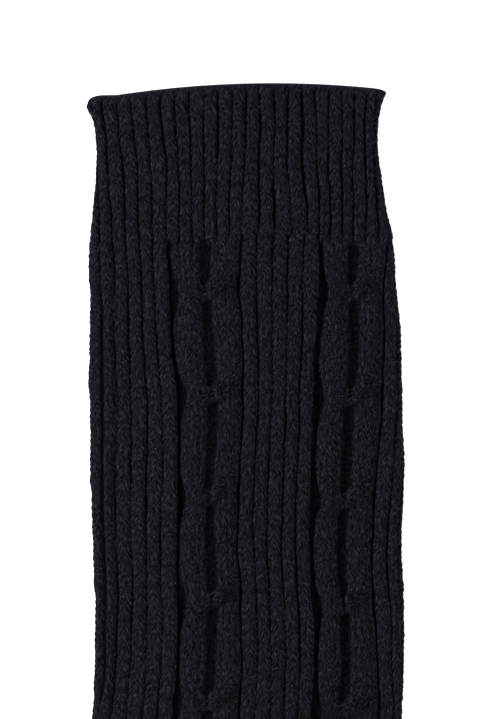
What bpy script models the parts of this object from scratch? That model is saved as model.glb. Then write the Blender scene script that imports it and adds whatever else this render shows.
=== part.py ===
"""A knitted knee sock, lying flat on its side: cuff, leg, heel, foot and toe.

Metres, +Z up. The sock lies on the plane z = 0, its mouth towards +Y and its toe towards -X, so the
leg runs along Y and the foot along X. The tube is followed by one coordinate, the way, which counts
metres down the straight leg, then degrees round the ankle bend, then metres along the foot. Every
section runs from the shin and instep fold, over the upper layer, to the calf and sole fold, and back
under the lower layer. A place round the section is counted in ribs.
"""

import math

import bpy
import numpy as np
from mathutils import Matrix

# Overall sizes
SOCK_LENGTH = 0.378  # crest of the mouth to the sole
FOOT_LENGTH = 0.235  # back of the heel to the tip of the toe
LEG_WIDTH = 0.1045  # flat width of the leg
ANKLE_WIDTH = 0.094  # flat width above the heel
FOOT_WIDTH = 0.092  # flat width of the foot
CUFF_HEIGHT = 0.050
TOE_LENGTH = 0.048
INSTEP_RADIUS = 0.045  # bend of the instep fold
HEEL_SQUARENESS = 5.0  # exponent of the heel's rounded corner: 2 is round, more is squarer

# The flattened tube
FOLD_THICKNESS = 0.0095  # both layers at the folded edges
CROWN = 0.0045  # how much higher the upper layer lies in the middle
WALL = 0.0026  # thickness of the knit
RIB_DEPTH = 0.0010  # valley between two ribs
CABLE_DEPTH = 0.0014  # valley beside and between cable columns
PIECE_GAP = 0.0003

# The knitted pattern, counted in ribs round the tube
RIBS_ROUND = 48
BLOCK_RIBS = 5  # ribs in a block between two cable panels
COLUMN_RIBS = 3  # a cable column is as wide as this many ribs
EDGE_RIBS = 4  # ribs of the right block that turn round the calf fold
PLAIN_CELLS = 8  # cells of the lower layer, which is pressed smooth
FIRST_CROSSING = 0.064  # mouth to the first cable crossing
CABLE_PITCH = 0.035  # from one crossing to the next
CROSSING_LENGTH = 0.008
CROSSING_CLOSED = 0.75  # share of the cable valley that a crossing fills

# The look of the knit
NAVY = (0.012, 0.013, 0.020)
ROUGHNESS = 0.9
SHARP_ANGLE = 50.0  # edges sharper than this, in degrees, are shaded sharp

# The mouth and the heel
MOUTH_ARCH = 0.004  # rise of the courses in the middle of the mouth
MOUTH_ARCH_FADES = 0.150  # where the courses have become straight
MOUTH_CREST = 0.0084  # distance of the crest from the leg's middle line, towards the calf
HEEL_SPREAD = 25.6  # half of the heel pocket's angle at the fold, in degrees of the bend
HEEL_TIP = 1.0  # the same at the pocket's tips
BEND = 90.0  # degrees from the leg to the foot

# Columns and rows of facets
RIB_SHARES = (0.3, 0.7)  # places of a rib's raised points, as shares of its width
COLUMN_SHARES = (0.15, 0.4, 0.6, 0.85)  # the same for a cable column
CUFF_ROWS = (0.0, 0.06, 0.16, 0.30, 0.52, 0.78, 1.0)  # shares of the cuff's height
CUFF_INNER_ROWS = (0.0, 0.30, 1.0)
INNER_ROW = 0.030  # longest facet of the inner wall along the leg
BEND_ROWS = 3  # rows from the leg's or the foot's straight part to the heel's edge
FOOT_ROWS = 3
HEEL_ROWS = 10
TOE_ROWS = (0.0, 0.2, 0.4, 0.57, 0.72, 0.84, 0.92, 0.97, 0.992)
TOE_CELLS = 32
TOE_ROUNDNESS = 2.6  # exponent of the toe's outline: more is squarer
TOE_BLUNTNESS = 6.0  # exponent of the toe's thickness
TOE_DROP = 0.011  # how far the tip lies below the foot's middle

# Silhouette of the leg from above: the way down as a share of the straight leg, and the two
# folds' distances from the leg's middle line as shares of the leg's width
OUTLINE_COLUMNS = ("down", "shin", "calf")
OUTLINE = (
    (0.000, 0.502, 0.448),
    (0.013, 0.515, 0.435),
    (0.034, 0.496, 0.423),
    (0.063, 0.486, 0.417),
    (0.105, 0.486, 0.426),
    (0.162, 0.496, 0.445),
    (0.219, 0.505, 0.471),
    (0.276, 0.500, 0.477),
    (0.332, 0.502, 0.490),
    (0.419, 0.502, 0.496),
    (0.534, 0.500, 0.502),
    (0.643, 0.493, 0.496),
    (0.726, 0.486, 0.502),
    (0.838, 0.490, 0.499),
    (0.885, 0.499, 0.496),
)

# Valley lines of the pattern on the upper layer: the way down as above, and each line's place as
# a share of the flat width, from the shin fold
LINE_COLUMNS = ("down", "left_block", "left_panel", "left_cable", "middle_block",
                "right_panel", "right_cable", "right_block")
LINES = (
    (0.000, -0.007, 0.235, 0.382, 0.522, 0.755, 0.886, 1.007),
    (0.013, 0.007, 0.248, 0.396, 0.535, 0.769, 0.900, 1.021),
    (0.034, -0.010, 0.239, 0.389, 0.533, 0.775, 0.910, 1.032),
    (0.063, -0.017, 0.239, 0.386, 0.531, 0.781, 0.916, 1.035),
    (0.105, -0.007, 0.248, 0.382, 0.521, 0.774, 0.902, 1.026),
    (0.162, 0.013, 0.254, 0.378, 0.512, 0.769, 0.888, 1.014),
    (0.219, 0.032, 0.254, 0.375, 0.499, 0.751, 0.862, 0.986),
    (0.270, 0.033, 0.254, 0.372, 0.489, 0.744, 0.850, 0.965),
    (0.340, 0.032, 0.260, 0.376, 0.492, 0.727, 0.846, 0.949),
    (0.435, 0.036, 0.276, 0.388, 0.494, 0.711, 0.826, 0.938),
    (0.545, 0.029, 0.277, 0.376, 0.475, 0.701, 0.809, 0.914),
    (0.655, 0.026, 0.268, 0.378, 0.472, 0.698, 0.798, 0.901),
    (0.765, 0.020, 0.265, 0.374, 0.477, 0.706, 0.806, 0.910),
    (0.860, 0.012, 0.260, 0.366, 0.479, 0.706, 0.802, 0.925),
)

# Worked out from the sizes above
FOLD_RADIUS = FOLD_THICKNESS / 2
INSTEP_Y = FOOT_WIDTH - SOCK_LENGTH
STRAIGHT = -INSTEP_Y - INSTEP_RADIUS  # length of the straight leg
BEND_X = -ANKLE_WIDTH / 2 - INSTEP_RADIUS  # centre of the ankle's bend
BEND_Y = -STRAIGHT
HEEL_BACK = ANKLE_WIDTH / 2
TOE_TIP_X = HEEL_BACK - FOOT_LENGTH
FOOT_RUN = BEND_X - TOE_TIP_X - TOE_LENGTH
DEGREE = 1e-3  # a degree of the bend counts as this much of the way
BEND_END = STRAIGHT + BEND * DEGREE
BEND_MIDDLE = STRAIGHT + BEND / 2 * DEGREE
LINE_RIBS = np.cumsum([-BLOCK_RIBS, BLOCK_RIBS, COLUMN_RIBS, COLUMN_RIBS, BLOCK_RIBS,
                       COLUMN_RIBS, COLUMN_RIBS])


def column(rows, names, name):
    """One named column of a table."""
    return np.array([row[names.index(name)] for row in rows])


def along(way, rows, names, name):
    """A table's column read at the way, with the way as a share of the straight leg."""
    return np.interp(way / STRAIGHT, column(rows, names, "down"), column(rows, names, name))


def folds(way):
    """Centre lines of the two folds: the shin and instep fold, and the calf, heel and sole fold.

    Down the leg the folds follow the outline table and end at the ankle's width. Round the bend the
    instep is a circle and the heel a rounded square about the same centre. Then both run along -X.
    """
    way = np.asarray(way, float)
    down = np.clip(way, 0.0, STRAIGHT)
    last = OUTLINE[-1][0] * STRAIGHT
    ease = np.clip((down - last) / (STRAIGHT - last), 0.0, 1.0)
    shin = along(down, OUTLINE, OUTLINE_COLUMNS, "shin") * LEG_WIDTH
    calf = along(down, OUTLINE, OUTLINE_COLUMNS, "calf") * LEG_WIDTH
    shin_x = -(shin + (ANKLE_WIDTH / 2 - shin) * ease)
    calf_x = calf + (ANKLE_WIDTH / 2 - calf) * ease

    angle = np.radians(np.clip((way - STRAIGHT) / DEGREE, 0.0, BEND))
    cos, sin = np.cos(angle), np.sin(angle)
    share = angle / math.radians(BEND)
    reach = (ANKLE_WIDTH + INSTEP_RADIUS) * (1 - share) + (FOOT_WIDTH + INSTEP_RADIUS) * share
    power = HEEL_SQUARENESS
    reach = reach * (np.abs(cos) ** power + np.abs(sin) ** power) ** (-1 / power)
    run = np.clip(way - BEND_END, 0.0, None)

    bent = way > STRAIGHT
    shin_x = np.where(bent, BEND_X + INSTEP_RADIUS * cos - run, shin_x)
    shin_y = np.where(bent, BEND_Y - INSTEP_RADIUS * sin, -down)
    calf_x = np.where(bent, BEND_X + reach * cos - run, calf_x)
    calf_y = np.where(bent, BEND_Y - reach * sin, -down)
    return shin_x, shin_y, calf_x, calf_y


def flat_width(way):
    """Distance between the two folds."""
    shin_x, shin_y, calf_x, calf_y = folds(way)
    return np.hypot(calf_x - shin_x, calf_y - shin_y)


def girth_place(ribs, way):
    """Length round the section from the shin fold to a place counted in ribs.

    On the upper layer the pattern's valley lines are placed by their table, and the ribs between
    two lines are evenly spaced. The rest of the ribs share the hidden part of the girth.
    """
    ribs, way = np.broadcast_arrays(np.asarray(ribs, float), np.asarray(way, float))
    width = flat_width(way)
    straight = width - FOLD_THICKNESS
    girth = 2 * straight + 2 * math.pi * FOLD_RADIUS
    start = math.pi / 2 * FOLD_RADIUS + straight / 2
    lines = [start + (along(way, LINES, LINE_COLUMNS, name) - 0.5) * width for name in LINE_COLUMNS[1:]]
    marks = list(LINE_RIBS) + [LINE_RIBS[0] + RIBS_ROUND]
    lines = lines + [lines[0] + girth]
    turns = np.floor((ribs - marks[0]) / RIBS_ROUND)
    rest = ribs - turns * RIBS_ROUND
    place = np.zeros(ribs.shape)
    for k in range(len(marks) - 1):
        inside = (rest >= marks[k]) & (rest < marks[k + 1])
        share = (rest - marks[k]) / (marks[k + 1] - marks[k])
        place = np.where(inside, lines[k] + (lines[k + 1] - lines[k]) * share, place)
    return place + turns * girth


def on_tube(place, way, inset):
    """A point of the flattened tube, from its length round the section, its way and its depth.

    The section is two straight runs joined by half circles, and the upper run is crowned by
    (1 - u^2)^2, with u from -1 at one fold to 1 at the other. The inset counts inwards from the
    outer surface. Near the mouth the courses are bowed, as the square of the distance from its crest.
    """
    shin_x, shin_y, calf_x, calf_y = folds(way)
    width = np.hypot(calf_x - shin_x, calf_y - shin_y)
    across_x, across_y = (calf_x - shin_x) / width, (calf_y - shin_y) / width
    half = width / 2 - FOLD_RADIUS
    quarter = math.pi / 2 * FOLD_RADIUS
    top_start, top_end = quarter, quarter + 2 * half
    low_start, low_end = top_end + 2 * quarter, top_end + 2 * quarter + 2 * half
    girth = low_end + quarter
    place = np.mod(place, girth)
    turned = np.clip(place, 0, top_start) + np.clip(place - top_end, 0, 2 * quarter)
    turned = turned + np.clip(place - low_end, 0, quarter)
    angle = math.pi - turned / FOLD_RADIUS
    middle = np.clip(place - top_start, 0, 2 * half) - np.clip(place - low_start, 0, 2 * half) - half
    upper = np.sin(angle) > 0
    crown = CROWN * np.where(upper, (1 - (middle / half) ** 2) ** 2, 0.0)

    out = middle + (FOLD_RADIUS - inset) * np.cos(angle)
    up = FOLD_RADIUS + (FOLD_RADIUS - inset) * np.sin(angle) + crown
    x = (shin_x + calf_x) / 2 + across_x * out
    y = (shin_y + calf_y) / 2 + across_y * out
    down = np.clip(way, 0.0, STRAIGHT)
    bow = np.clip(np.abs(x - MOUTH_CREST) / (LEG_WIDTH / 2), 0.0, 1.0) ** 2
    y = y - MOUTH_ARCH * np.clip(1 - down / MOUTH_ARCH_FADES, 0.0, 1.0) * bow
    return np.stack(np.broadcast_arrays(x, y, up), axis=-1)


class Cells:
    """The facets round a tube: the valleys where cells meet, and the points between them.

    Each outer point has its place in ribs, the depth of its valley and how much a crossing fills it.
    """

    def __init__(self):
        self.ribs = []
        self.depth = []
        self.fills = []
        self.valleys = []

    def valley(self, rib, depth, fills=0.0):
        """A point where two cells meet."""
        self.valleys.append(len(self.ribs))
        self.ribs.append(rib)
        self.depth.append(depth)
        self.fills.append(fills)

    def raised(self, rib, width, shares):
        """Points on a cell's raised part, at shares of its width."""
        self.ribs.extend(rib + width * share for share in shares)
        self.depth.extend(0.0 for _ in shares)
        self.fills.extend(0.0 for _ in shares)

    def finish(self):
        """The lists of places, depths and fills as arrays."""
        self.ribs = np.array(self.ribs, float)
        self.depth = np.array(self.depth)
        self.fills = np.array(self.fills)
        return self


def rib_run(cells, start, count, depth):
    """A run of single ribs, each with a valley on its left."""
    for k in range(count):
        cells.valley(start + k, depth)
        cells.raised(start + k, 1.0, RIB_SHARES)


def cable_column(cells, start, fills):
    """One cable column with the deep valley on its left."""
    cells.valley(start, CABLE_DEPTH, fills)
    cells.raised(start, COLUMN_RIBS, COLUMN_SHARES)


def plain_run(cells, start, stop, count):
    """The smooth lower layer: cells with no relief."""
    for k in range(count):
        cells.valley(start + (stop - start) * k / count, 0.0)


def cuff_cells():
    """Ribs over the upper layer and both folds, and the smooth lower layer."""
    cells = Cells()
    first = LINE_RIBS[0] - COLUMN_RIBS
    last = LINE_RIBS[-1] + EDGE_RIBS
    rib_run(cells, first, last - first, RIB_DEPTH)
    plain_run(cells, last, first + RIBS_ROUND, PLAIN_CELLS)
    return cells.finish()


def leg_cells():
    """Rib blocks and cable panels over the upper layer and both folds, and the lower layer."""
    cells = Cells()
    cable_column(cells, LINE_RIBS[0] - COLUMN_RIBS, 1.0)
    rib_run(cells, LINE_RIBS[0], BLOCK_RIBS, RIB_DEPTH)
    cable_column(cells, LINE_RIBS[1], 0.0)
    cable_column(cells, LINE_RIBS[2], 1.0)
    rib_run(cells, LINE_RIBS[3], BLOCK_RIBS, RIB_DEPTH)
    cable_column(cells, LINE_RIBS[4], 0.0)
    cable_column(cells, LINE_RIBS[5], 1.0)
    rib_run(cells, LINE_RIBS[6], EDGE_RIBS, RIB_DEPTH)
    plain_run(cells, LINE_RIBS[6] + EDGE_RIBS, LINE_RIBS[0] - COLUMN_RIBS + RIBS_ROUND, PLAIN_CELLS)
    return cells.finish()


def crossing(way):
    """How closed the cable valleys are at a place down the leg, as a bump at each crossing."""
    phase = (way - FIRST_CROSSING) / CABLE_PITCH
    distance = (phase - np.round(phase)) * CABLE_PITCH
    return CROSSING_CLOSED * np.exp(-(distance / CROSSING_LENGTH) ** 2) * (way > CUFF_HEIGHT)


def outer_grid(cells, ways, fade=1.0):
    """The outer wall: a row for each way, which may differ round the tube, with the valleys sunk."""
    ways = np.broadcast_to(ways, (len(ways), len(cells.ribs)))
    depth = cells.depth * (1 - cells.fills * crossing(ways)) * fade
    return on_tube(girth_place(cells.ribs, ways), ways, depth)


def inner_grid(cells, ways):
    """The inner wall, smooth, with a column at each valley."""
    ways = np.broadcast_to(ways, (len(ways), len(cells.valleys)))
    return on_tube(girth_place(cells.ribs[cells.valleys], ways), ways, WALL)


def make_object(name, verts, faces):
    """A named object with its own material, with its faces turned outwards and shaded smooth."""
    mesh = bpy.data.meshes.new(name)
    mesh.from_pydata([tuple(v) for v in verts], [], faces)
    mesh.validate()
    piece = bpy.data.objects.new(name, mesh)
    bpy.context.scene.collection.objects.link(piece)
    material = bpy.data.materials.new(name + "_knit")
    material.use_nodes = True
    shader = material.node_tree.nodes["Principled BSDF"]
    shader.inputs["Base Color"].default_value = (*NAVY, 1.0)
    shader.inputs["Roughness"].default_value = ROUGHNESS
    shader.inputs["Metallic"].default_value = 0.0
    mesh.materials.append(material)
    mesh.shade_smooth()
    mesh.set_sharp_from_angle(angle=math.radians(SHARP_ANGLE))
    return piece


def grid_faces(first, rows, count, closed, flip):
    """Quads between neighbouring points of a grid of rows and columns that starts at a vertex."""
    faces = []
    for i in range(rows - 1):
        for j in range(count if closed else count - 1):
            k = (j + 1) % count
            a = first + i * count + j
            b = first + i * count + k
            quad = (a, b, b + count, a + count)
            faces.append(quad[::-1] if flip else quad)
    return faces


def cell_spans(cells, closed):
    """For each cell, its outer points with both valleys, and its two inner points."""
    spans = []
    count = len(cells.valleys)
    for k in range(count if closed else count - 1):
        start = cells.valleys[k]
        stop = cells.valleys[(k + 1) % count]
        if k + 1 == count:
            points = list(range(start, len(cells.ribs))) + [0]
        else:
            points = list(range(start, stop + 1))
        spans.append((points, k, (k + 1) % count))
    return spans


def rim_faces(cells, outer_first, inner_first, closed, flip):
    """Triangles between the outer and the inner wall's end rows.

    In each cell the first half of the outer points fans out from the left inner point, and the
    second half from the right one, so that two pieces that meet have parallel rims.
    """
    faces = []
    for points, left, right in cell_spans(cells, closed):
        half = len(points) // 2
        left, right = inner_first + left, inner_first + right
        outer = [outer_first + p for p in points]
        fan = [(outer[k], outer[k + 1], left) for k in range(half)]
        fan.append((outer[half], right, left))
        fan += [(outer[k], outer[k + 1], right) for k in range(half, len(outer) - 1)]
        faces += fan if flip else [face[::-1] for face in fan]
    return faces


def tube(name, cells, outer, inner, closed=True):
    """A wall between an outer and an inner grid, with a rim at each end, and at each side if open."""
    rows, count = outer.shape[:2]
    inner_rows, inner_count = inner.shape[:2]
    verts = np.concatenate([outer.reshape(-1, 3), inner.reshape(-1, 3)])
    base = rows * count
    faces = grid_faces(0, rows, count, closed, True)
    faces += grid_faces(base, inner_rows, inner_count, closed, False)
    faces += rim_faces(cells, 0, base, closed, True)
    faces += rim_faces(cells, (rows - 1) * count, base + (inner_rows - 1) * inner_count, closed, False)
    if not closed:
        for at, inner_at, flip in ((0, 0, True), (count - 1, inner_count - 1, False)):
            side = [i * count + at for i in range(rows)]
            side += [base + i * inner_count + inner_at for i in reversed(range(inner_rows))]
            faces.append(side[::-1] if flip else side)
    return make_object(name, verts, faces)


def heel_spread(cells):
    """Half of the heel pocket's angle at each facet, or nothing beyond its two tips.

    The pocket is widest at the fold and narrows as 1 - x^3 to its tips, with x the share of the
    girth from the fold to a tip.
    """
    tips = heel_tips(cells)
    ribs = cells.ribs
    place = girth_place(ribs, BEND_MIDDLE)
    fold = math.pi * FOLD_RADIUS + flat_width(BEND_MIDDLE) - FOLD_THICKNESS
    low, high = place[tips[0]], place[tips[1]]
    share = np.where(place < fold, (fold - place) / (fold - low), (place - fold) / (high - fold))
    spread = HEEL_TIP + (HEEL_SPREAD - HEEL_TIP) * (1 - np.clip(share, 0, 1) ** 3)
    inside = (np.arange(len(ribs)) >= tips[0]) & (np.arange(len(ribs)) <= tips[1])
    return np.where(inside, spread, 0.0) * DEGREE


def heel_tips(cells):
    """The two facets where the heel pocket ends: inside the middle block, and half way round below."""
    upper = int(np.argmin(np.abs(cells.ribs - (LINE_RIBS[3] + 1))))
    lower = cells.valleys[len(cells.valleys) - PLAIN_CELLS + PLAIN_CELLS // 2]
    return upper, lower


def half_gap(cells, spread):
    """Half of the gap between pieces, as a length of the way.

    It is divided by how far a point moves for each unit of the way, and made longer where the
    pocket's edge runs aslant, so that the gap square to the edge stays the same.
    """
    place = girth_place(cells.ribs, BEND_MIDDLE)
    before = on_tube(place, BEND_MIDDLE - DEGREE / 2, 0.0)
    after = on_tube(place, BEND_MIDDLE + DEGREE / 2, 0.0)
    pace = np.linalg.norm(after - before, axis=-1) / DEGREE
    slant = np.gradient(spread, place) * pace
    return PIECE_GAP / 2 / pace * np.sqrt(1 + slant ** 2)


def blend_rows(start, stop, count):
    """Rows that go evenly from one boundary to another."""
    return np.stack([start + (stop - start) * k / count for k in range(count + 1)])


def make_cuff():
    """The ribbed band at the mouth."""
    cells = cuff_cells()
    ways = np.array(CUFF_ROWS)[:, None] * CUFF_HEIGHT
    inner_ways = np.array(CUFF_INNER_ROWS)[:, None] * CUFF_HEIGHT
    return tube("cuff", cells, outer_grid(cells, ways), inner_grid(cells, inner_ways))


def make_leg():
    """The patterned tube, down to the heel's upper edge at the back and the bend's middle in front."""
    cells = leg_cells()
    start = CUFF_HEIGHT + PIECE_GAP
    spread = heel_spread(cells)
    end = BEND_MIDDLE - spread - half_gap(cells, spread)
    crossings = np.arange(FIRST_CROSSING, STRAIGHT - CABLE_PITCH / 4, CABLE_PITCH / 2)
    rows = [np.full(len(cells.ribs), way) for way in (start, *crossings)]
    rows += list(blend_rows(np.full(len(cells.ribs), STRAIGHT), end, BEND_ROWS))
    outer = outer_grid(cells, np.stack(rows))
    valleys = cells.valleys
    inner_rows = blend_rows(np.full(len(valleys), start), np.full(len(valleys), STRAIGHT),
                            math.ceil((STRAIGHT - start) / INNER_ROW))
    inner_rows = np.concatenate([inner_rows, blend_rows(inner_rows[-1], end[valleys], BEND_ROWS)[1:]])
    return tube("leg", cells, outer, inner_grid(cells, inner_rows))


def make_foot():
    """The tube from the heel's lower edge to the toe: patterned on the instep, plain on the sole."""
    cells = leg_cells()
    spread = heel_spread(cells)
    start = BEND_MIDDLE + spread + half_gap(cells, spread)
    end = np.full(len(cells.ribs), BEND_END + FOOT_RUN - PIECE_GAP)
    turned = np.full(len(cells.ribs), BEND_END)
    rows = np.concatenate([blend_rows(start, turned, BEND_ROWS), blend_rows(turned, end, FOOT_ROWS)[1:]])
    instep = (cells.ribs <= LINE_RIBS[3]).astype(float)
    outer = outer_grid(cells, rows, instep)
    valleys = cells.valleys
    return tube("foot", cells, outer, inner_grid(cells, rows[:, valleys]))


def make_heel():
    """The turned pocket: the part of the bend between the leg's edge and the foot's."""
    cells = leg_cells()
    first, last = heel_tips(cells)
    spread = heel_spread(cells)
    margin = half_gap(cells, spread)
    rows = blend_rows(BEND_MIDDLE - spread + margin, BEND_MIDDLE + spread - margin, HEEL_ROWS)
    rows = rows[:, first:last + 1]
    part = Cells()
    part.ribs = cells.ribs[first:last + 1]
    part.depth = np.zeros(len(part.ribs))
    part.fills = part.depth
    part.valleys = [v - first for v in cells.valleys if first <= v <= last]
    outer = outer_grid(part, rows)
    return tube("heel", part, outer, inner_grid(part, rows[:, part.valleys]), closed=False)


def toe_wall(place, inset, length):
    """Rings of the toe: the foot's last section, drawn in to the tip.

    With t the share of the way to the tip, the width shrinks as the square root of 1 - t^n and the
    thickness as the square root of 1 - t^m, and the tip lies nearer the sole than the instep.
    """
    section = on_tube(place, BEND_END + FOOT_RUN, inset)
    middle = INSTEP_Y - FOOT_WIDTH / 2
    share = np.array(TOE_ROWS)[:, None]
    width = np.sqrt(1 - share ** TOE_ROUNDNESS)
    height = np.sqrt(1 - share ** TOE_BLUNTNESS)
    x = section[:, 0] - share / TOE_ROWS[-1] * length
    y = middle + (section[:, 1] - middle) * width - TOE_DROP * (1 - width)
    z = FOLD_RADIUS + (section[:, 2] - FOLD_RADIUS) * height
    return np.stack(np.broadcast_arrays(x, y, z), axis=-1)


def make_toe():
    """The closed end of the foot: an outer and an inner cup, joined at the open rim."""
    ribs = np.arange(TOE_CELLS) * RIBS_ROUND / TOE_CELLS
    place = girth_place(ribs, BEND_END + FOOT_RUN)
    outer = toe_wall(place, 0.0, TOE_LENGTH)
    inner = toe_wall(place, WALL, TOE_LENGTH - WALL)
    rows = len(TOE_ROWS)
    base = rows * TOE_CELLS
    faces = grid_faces(0, rows, TOE_CELLS, True, True)
    faces += grid_faces(base, rows, TOE_CELLS, True, False)
    ring = range(TOE_CELLS)
    faces += [(k, (k + 1) % TOE_CELLS, base + (k + 1) % TOE_CELLS, base + k) for k in ring]
    last = (rows - 1) * TOE_CELLS
    faces.append([last + k for k in reversed(ring)])
    faces.append([base + last + k for k in ring])
    verts = np.concatenate([outer.reshape(-1, 3), inner.reshape(-1, 3)])
    return make_object("toe", verts, faces)


def clear_scene():
    """Remove whatever the scene holds."""
    for item in list(bpy.data.objects):
        bpy.data.objects.remove(item)


def centre_over_origin(pieces):
    """Move the pieces so that the origin is under the middle of their common box."""
    corners = np.array([vert.co for piece in pieces for vert in piece.data.vertices])
    middle = (corners.min(axis=0) + corners.max(axis=0)) / 2
    move = Matrix.Translation((-middle[0], -middle[1], 0.0))
    for piece in pieces:
        piece.data.transform(move)


clear_scene()
centre_over_origin([make_cuff(), make_leg(), make_heel(), make_foot(), make_toe()])
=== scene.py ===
"""The looks of a knitted knee sock: every stitch of its cuff, leg, heel, foot and toe, and its yarn.

Metres, +Z up. The sock lies on z = 0 with its mouth towards +Y and its toe towards -X. The tube is
followed by the way, which counts metres down the straight leg, then a thousandth for each degree
round the ankle, then metres along the foot. A place round the tube is counted in ribs of the cuff,
from the shin fold over the upper layer to the calf fold and back below. Rows of stitches are courses,
and columns of stitches are wales. The sock was knitted from the mouth down.
"""

import math

import bpy
import numpy as np
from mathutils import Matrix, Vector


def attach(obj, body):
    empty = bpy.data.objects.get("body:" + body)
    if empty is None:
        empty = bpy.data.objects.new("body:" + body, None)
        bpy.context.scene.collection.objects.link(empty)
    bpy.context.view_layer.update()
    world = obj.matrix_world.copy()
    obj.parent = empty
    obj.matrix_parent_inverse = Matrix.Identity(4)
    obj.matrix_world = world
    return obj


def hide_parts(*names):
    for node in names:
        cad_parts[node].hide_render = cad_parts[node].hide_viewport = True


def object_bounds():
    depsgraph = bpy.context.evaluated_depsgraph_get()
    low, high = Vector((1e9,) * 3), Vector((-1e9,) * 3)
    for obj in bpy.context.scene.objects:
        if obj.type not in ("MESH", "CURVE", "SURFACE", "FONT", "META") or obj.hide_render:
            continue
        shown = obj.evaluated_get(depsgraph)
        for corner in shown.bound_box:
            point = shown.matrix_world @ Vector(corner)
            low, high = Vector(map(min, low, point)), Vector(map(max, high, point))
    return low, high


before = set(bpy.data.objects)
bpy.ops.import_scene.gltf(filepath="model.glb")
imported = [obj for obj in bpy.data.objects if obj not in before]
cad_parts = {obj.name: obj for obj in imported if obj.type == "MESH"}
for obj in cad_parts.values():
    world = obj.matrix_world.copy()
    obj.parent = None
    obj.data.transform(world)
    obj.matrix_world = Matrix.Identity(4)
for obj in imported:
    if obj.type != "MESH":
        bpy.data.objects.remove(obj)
CAD_LOW, CAD_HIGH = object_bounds()

# The sock's sizes, as the solids have them
MM = 0.001
LEG_WIDTH = 0.1045
ANKLE_WIDTH = 0.094
FOOT_WIDTH = 0.092
CUFF_HEIGHT = 0.050
TOE_LENGTH = 0.048
INSTEP_RADIUS = 0.045
HEEL_SQUARENESS = 5.0
FOLD_THICKNESS = 0.0095
CROWN = 0.0045
WALL = 0.0026
MOUTH_ARCH = 0.004
MOUTH_ARCH_FADES = 0.150
MOUTH_CREST = 0.0084
LOWER_LIP = 0.0007  # how far the lower layer's edge shows beyond the upper layer's
LIP_FADES = 0.006
HEEL_SPREAD = 0.0256
BEND = 90.0
TOE_ROUNDNESS = 2.6
TOE_BLUNTNESS = 6.0
TOE_DROP = 0.011

# The sock's length is read from the frame
HEEL_BULGE = 0.3 * MM  # how far the heel reaches below the sole
SOCK_LENGTH = CAD_HIGH.y - CAD_LOW.y - HEEL_BULGE
FOOT_LENGTH = 0.235

# The knit
RIBS_ROUND = 48
COURSE = 2.13 * MM  # height of a row of stitches
ROWS = 5  # rows of the mesh in a course
RISES = {"rib": 1.8, "cable": 1.15, "plain": 1.15}  # how far a stitch's legs rise, in courses
CREST_LIFT = 0.5 * MM  # how far the crests stand proud of the solid's surface
THINNEST = 0.12 * MM  # what is left of the wall at the bottom of the deepest valleys
RIB_VALLEY = 2.1 * MM  # depth between two ribs
RIB_WIDTH = 0.98  # of a rib's share of the tube
RIB_ROUNDNESS = 1.4
STRAND_VALLEY = 2.9 * MM  # depth beside a cable strand
STRAND_ROUNDNESS = 1.7
STRAND_WALE = 0.42 * MM  # height of one wale of a cable strand
MIDDLE_SLOPE = 2.5 * MM  # how far the sides of the valley between two cable columns rise
MIDDLE_HALF = 0.84  # and within how many ribs
MIDDLE_CURVE = 3.2
KNOBS = 0.17 * MM  # how far each stitch bulges sideways out of its rib
LEG_RELIEF = 0.42 * MM  # groove between two stitches of a wale
WALE_GROOVE = 0.70 * MM  # groove between the two legs of a stitch
PLAIN_GROOVE = 0.38 * MM  # groove between two wales of plain knit
LUMPS = 0.10 * MM  # unevenness of the spun yarn
UNEVEN = 0.14 * MM  # of single stitches
SWELL = 0.16 * MM  # of whole ribs, over about five courses
JOLT = 0.34  # how far single stitches are pulled up or down, in courses
RELIEF_VARIES = 0.6  # share by which the grooves' depth changes, and the valleys'
VALLEY_VARIES = 0.35
SLOW_SWAY = (0.32 * MM, 0.013)  # how far the ribs wander sideways, and over what length
QUICK_SWAY = (0.20 * MM, 0.005)

# The two ends of the cuff
MOUTH_EDGE = 1.2 * MM  # how far the mouth's rounded edge reaches down
CUFF_JOG = 1.3 * MM  # the ribs above the middle block lean aside at the cuff's end
JOG_RIBS = (6, 10, 11)
JOG_SHARES = (0, 1, 0)
JOG_START = 0.028
JOG_LENGTH = 0.020
DIP_RIBS = (-0.1, 0.2, 2.8, 3.3, 5.9, 6.1, 10.9, 11.1)  # dips where the cuff's ribs end
DIP_DEPTHS = (0, 1.5, 1.5, 0.3, 0.3, 0.8, 0.8, 0.2)  # in millimetres

# Courses round the bend on each side of the heel, and in half of the heel
BEND_COURSES = 19
HEEL_COURSES = 24
GORE_DEPTH = 0.5 * MM
HEEL_TIPS = (7, 30)  # the ribs at which the heel ends

# The meshes and their maps
INNER_ROWS = {"leg": 14, "foot": 12, "heel": 12, "toe": 14}
CUFF_INNER_ROWS = (1.0, 0.8, 0.6, 0.4, 0.32, 0.24, 0.16, 0.08, 0.0)  # closer near the mouth
WELD_WITHIN = 2e-7  # points nearer than this are one
CM = 10 * MM
SEEDS = {"uneven": 11, "swell": 12, "valley": 13, "jolt": 14, "relief": 15, "lumps": 16,
         "slow sway": 21, "quick sway": 22}

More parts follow.
